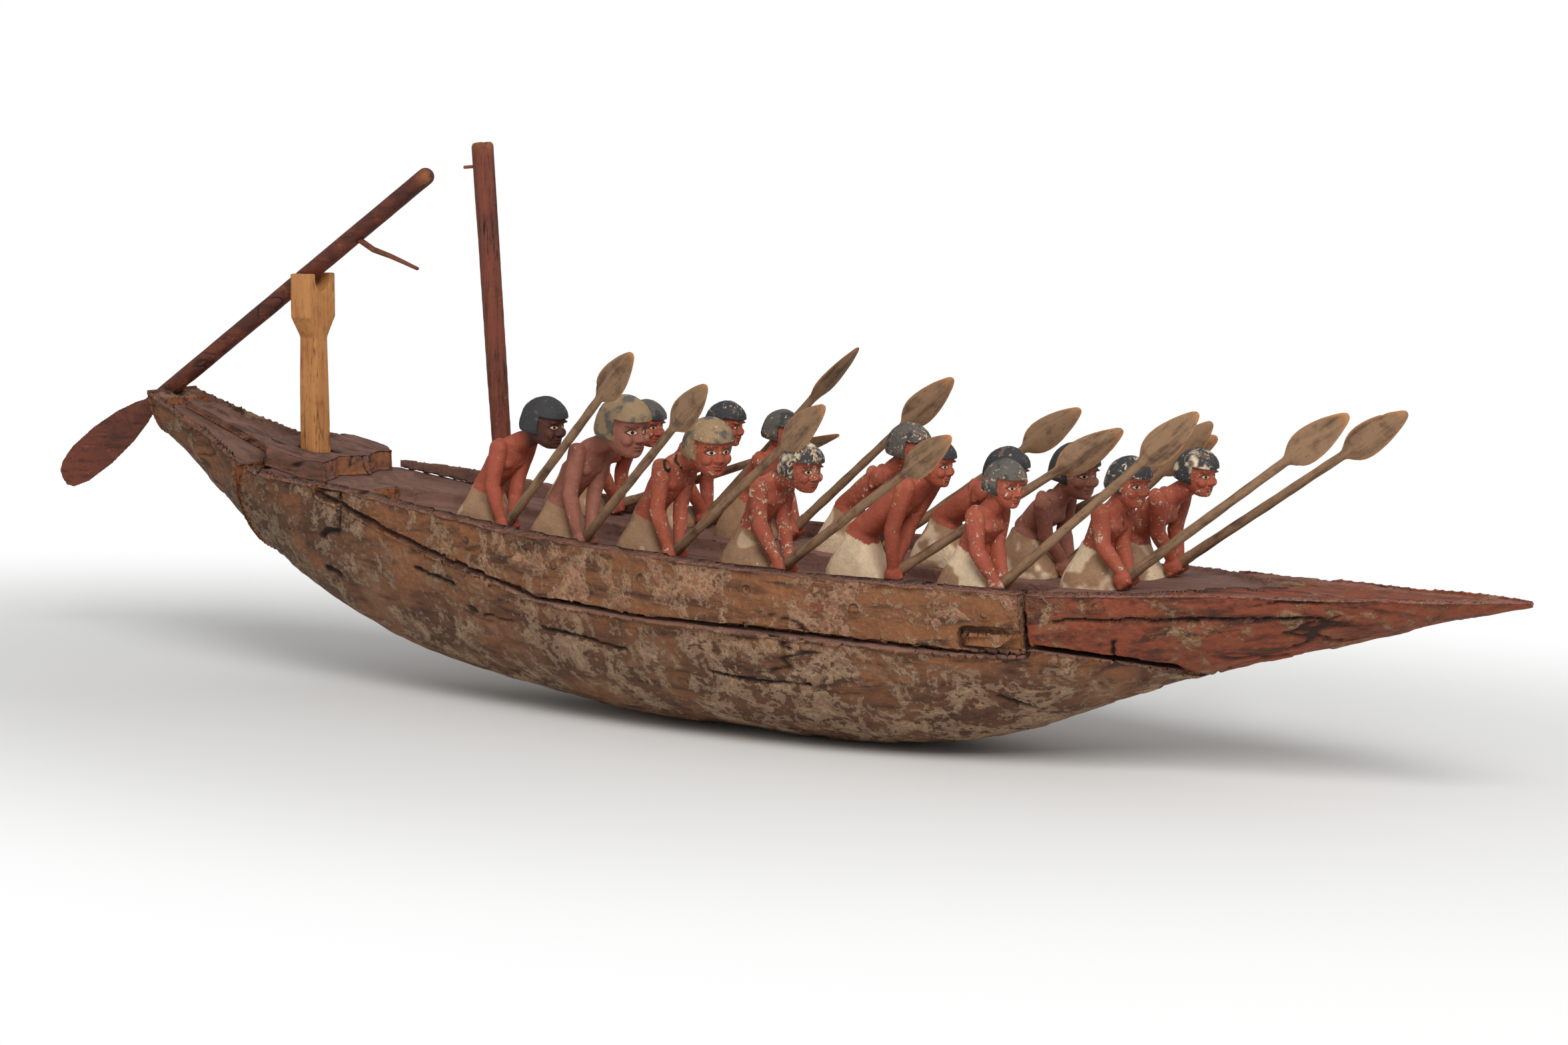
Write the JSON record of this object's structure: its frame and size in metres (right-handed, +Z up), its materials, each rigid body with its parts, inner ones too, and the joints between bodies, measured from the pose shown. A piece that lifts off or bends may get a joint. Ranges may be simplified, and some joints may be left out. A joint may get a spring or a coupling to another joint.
{
  "type": "model boat",
  "caption": "Ancient Egyptian tomb model of a river boat: a carved hull with kneeling paddlers holding leaf-bladed paddles, a steering oar on a forked post and a short mast.",
  "frame": {"origin": "middle of the carved flat under the hull, on the surface the model rests on", "axes": "+X towards the bow, +Y to port, +Z up"},
  "size_m": [1.276, 0.2739, 0.4167],
  "materials": {
    "plastered_hull": "worn gesso and paint over wood",
    "red_bow": "worn red paint over wood",
    "deck_wood": "bare weathered wood",
    "dark_red_spars": "dark red paint, slightly polished",
    "post_wood": "bare wood, tan",
    "peg_wood": "bare wood",
    "paddle_wood": "bare dry wood",
    "painted_crew": "painted wood, flaked"
  },
  "bodies": {
    "boat": {"afterdeck": "deck_wood", "arms_port_1": "painted_crew", "arms_port_2": "painted_crew", "arms_port_3": "painted_crew", "arms_port_4": "painted_crew", "arms_port_5": "painted_crew", "arms_port_6": "painted_crew", "arms_port_7": "painted_crew", "arms_starboard_1": "painted_crew", "arms_starboard_2": "painted_crew", "arms_starboard_3": "painted_crew", "arms_starboard_4": "painted_crew", "arms_starboard_5": "painted_crew", "arms_starboard_6": "painted_crew", "arms_starboard_7": "painted_crew", "bow_block": "red_bow", "bow_dowels": "peg_wood", "figure_pegs": "peg_wood", "hull_log": "plastered_hull", "oar_post": "post_wood", "paddler_port_1": "painted_crew", "paddler_port_2": "painted_crew", "paddler_port_3": "painted_crew", "paddler_port_4": "painted_crew", "paddler_port_5": "painted_crew", "paddler_port_6": "painted_crew", "paddler_port_7": "painted_crew", "paddler_starboard_1": "painted_crew", "paddler_starboard_2": "painted_crew", "paddler_starboard_3": "painted_crew", "paddler_starboard_4": "painted_crew", "paddler_starboard_5": "painted_crew", "paddler_starboard_6": "painted_crew", "paddler_starboard_7": "painted_crew", "patch_block": "plastered_hull", "port_strake": "plastered_hull", "starboard_strake": "plastered_hull", "stern_block": "plastered_hull", "stern_dowels": "peg_wood", "stern_plank": "deck_wood", "strake_pegs": "peg_wood"},
    "turning_paddle_starboard_1": {"paddle_starboard_1": "paddle_wood"},
    "turning_paddle_starboard_2": {"paddle_starboard_2": "paddle_wood"},
    "turning_paddle_starboard_3": {"paddle_starboard_3": "paddle_wood"},
    "turning_paddle_starboard_4": {"paddle_starboard_4": "paddle_wood"},
    "turning_paddle_starboard_5": {"paddle_starboard_5": "paddle_wood"},
    "turning_paddle_starboard_6": {"paddle_starboard_6": "paddle_wood"},
    "turning_paddle_starboard_7": {"paddle_starboard_7": "paddle_wood"},
    "turning_paddle_port_1": {"paddle_port_1": "paddle_wood"},
    "turning_paddle_port_2": {"paddle_port_2": "paddle_wood"},
    "turning_paddle_port_3": {"paddle_port_3": "paddle_wood"},
    "turning_paddle_port_4": {"paddle_port_4": "paddle_wood"},
    "turning_paddle_port_5": {"paddle_port_5": "paddle_wood"},
    "turning_paddle_port_6": {"paddle_port_6": "paddle_wood"},
    "turning_paddle_port_7": {"paddle_port_7": "paddle_wood"},
    "steering_gear": {"steering_oar": "dark_red_spars", "tiller": "dark_red_spars"},
    "lifting_mast": {"mast": "dark_red_spars", "mast_pin": "dark_red_spars"}
  },
  "joints": [
    {"name": "paddle_turn_starboard_1", "type": "hinge", "parent": "boat", "child": "turning_paddle_starboard_1", "pos_m": [-0.178, -0.072, 0.14069], "axis": [0.7254, -0.2498, 0.6414], "range_deg": [-20, 20]},
    {"name": "paddle_turn_starboard_2", "type": "hinge", "parent": "boat", "child": "turning_paddle_starboard_2", "pos_m": [-0.104, -0.078, 0.13514], "axis": [0.7385, -0.2984, 0.6046], "range_deg": [-20, 20]},
    {"name": "paddle_turn_starboard_3", "type": "hinge", "parent": "boat", "child": "turning_paddle_starboard_3", "pos_m": [-0.026, -0.078, 0.13107], "axis": [0.7828, -0.2544, 0.5678], "range_deg": [-20, 20]},
    {"name": "paddle_turn_starboard_4", "type": "hinge", "parent": "boat", "child": "turning_paddle_starboard_4", "pos_m": [0.063, -0.074, 0.12746], "axis": [0.8178, -0.2657, 0.5105], "range_deg": [-20, 20]},
    {"name": "paddle_turn_starboard_5", "type": "hinge", "parent": "boat", "child": "turning_paddle_starboard_5", "pos_m": [0.14, -0.054, 0.12618], "axis": [0.7473, 0.3807, 0.5446], "range_deg": [-20, 20]},
    {"name": "paddle_turn_starboard_6", "type": "hinge", "parent": "boat", "child": "turning_paddle_starboard_6", "pos_m": [0.228, -0.065, 0.1249], "axis": [0.7626, -0.0133, 0.6468], "range_deg": [-20, 20]},
    {"name": "paddle_turn_starboard_7", "type": "hinge", "parent": "boat", "child": "turning_paddle_starboard_7", "pos_m": [0.308, -0.038, 0.13359], "axis": [0.8018, 0, 0.5976], "range_deg": [-20, 20]},
    {"name": "paddle_turn_port_1", "type": "hinge", "parent": "boat", "child": "turning_paddle_port_1", "pos_m": [-0.182, 0.072, 0.14046], "axis": [0.8917, 0.3245, 0.3156], "range_deg": [-20, 20]},
    {"name": "paddle_turn_port_2", "type": "hinge", "parent": "boat", "child": "turning_paddle_port_2", "pos_m": [-0.105, 0.078, 0.13521], "axis": [0.6568, 0.1638, 0.7361], "range_deg": [-20, 20]},
    {"name": "paddle_turn_port_3", "type": "hinge", "parent": "boat", "child": "turning_paddle_port_3", "pos_m": [-0.027, 0.078, 0.13112], "axis": [0.7301, 0.1026, 0.6756], "range_deg": [-20, 20]},
    {"name": "paddle_turn_port_4", "type": "hinge", "parent": "boat", "child": "turning_paddle_port_4", "pos_m": [0.059, 0.074, 0.12762], "axis": [0.8121, 0.0997, 0.575], "range_deg": [-20, 20]},
    {"name": "paddle_turn_port_5", "type": "hinge", "parent": "boat", "child": "turning_paddle_port_5", "pos_m": [0.144, 0.066, 0.12561], "axis": [0.8788, 0.0769, 0.471], "range_deg": [-20, 20]},
    {"name": "paddle_turn_port_6", "type": "hinge", "parent": "boat", "child": "turning_paddle_port_6", "pos_m": [0.215, 0.054, 0.12458], "axis": [0.7193, 0, 0.6947], "range_deg": [-20, 20]},
    {"name": "paddle_turn_port_7", "type": "hinge", "parent": "boat", "child": "turning_paddle_port_7", "pos_m": [0.307, 0.038, 0.13356], "axis": [0.8236, 0.0288, 0.5664], "range_deg": [-20, 20]},
    {"name": "steering_oar_turn", "type": "hinge", "parent": "boat", "child": "steering_gear", "pos_m": [-0.422, 0, 0.3155], "axis": [0.8387, 0, 0.5446], "range_deg": [-35, 35]},
    {"name": "mast_lift", "type": "slide", "parent": "boat", "child": "lifting_mast", "axis": [-0.068, 0, 0.9977], "range_m": [0, 0.03]}
  ]
}
